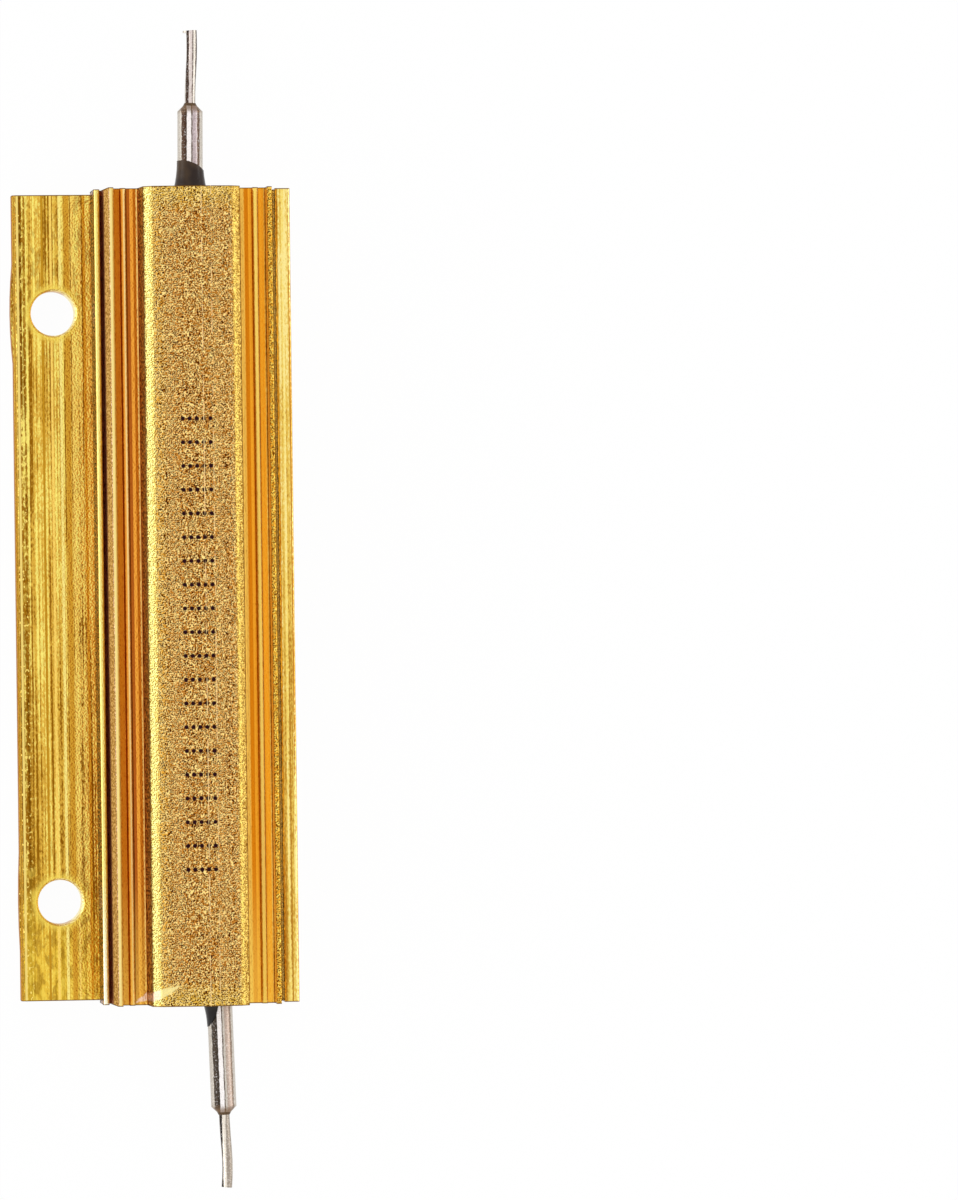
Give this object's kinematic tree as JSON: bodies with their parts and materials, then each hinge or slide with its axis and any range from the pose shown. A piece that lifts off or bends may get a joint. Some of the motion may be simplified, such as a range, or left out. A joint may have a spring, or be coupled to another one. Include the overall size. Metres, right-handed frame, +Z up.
{
  "type": "aluminium housed power resistor",
  "caption": "Finned, gold anodised aluminium housing with a screw flange along one side, a sealed wirewound element inside and a stepped terminal at each end.",
  "frame": {"origin": "on the flat base, under the middle of the finned body's length, on the bore's centre plane", "axes": "+Y along the housing towards its rear end, +Z up out of the base, the screw flange on the -X side"},
  "size_m": [0.0219, 0.0929, 0.016],
  "materials": {
    "gold_anodised": "satin",
    "ceramic": "matte",
    "resistance_alloy": "satin",
    "cement": "matte",
    "plated_cap": "satin",
    "potting": "matte",
    "epoxy": "gloss",
    "tinned_metal": "satin",
    "tinned_wire": "satin",
    "solder": "satin"
  },
  "bodies": {
    "root": {"housing": "gold_anodised", "ceramic_core": "ceramic", "resistance_winding": "resistance_alloy", "cement_coating": "cement", "front_end_cap": "plated_cap", "rear_end_cap": "plated_cap", "potting_fill": "potting", "front_end_seal": "epoxy", "rear_end_seal": "epoxy", "front_terminal_post": "tinned_metal", "rear_terminal_post": "tinned_metal", "front_lead_wire": "tinned_wire", "rear_lead_wire": "tinned_wire", "front_solder_fillet": "solder", "rear_solder_fillet": "solder"}
  },
  "joints": []
}
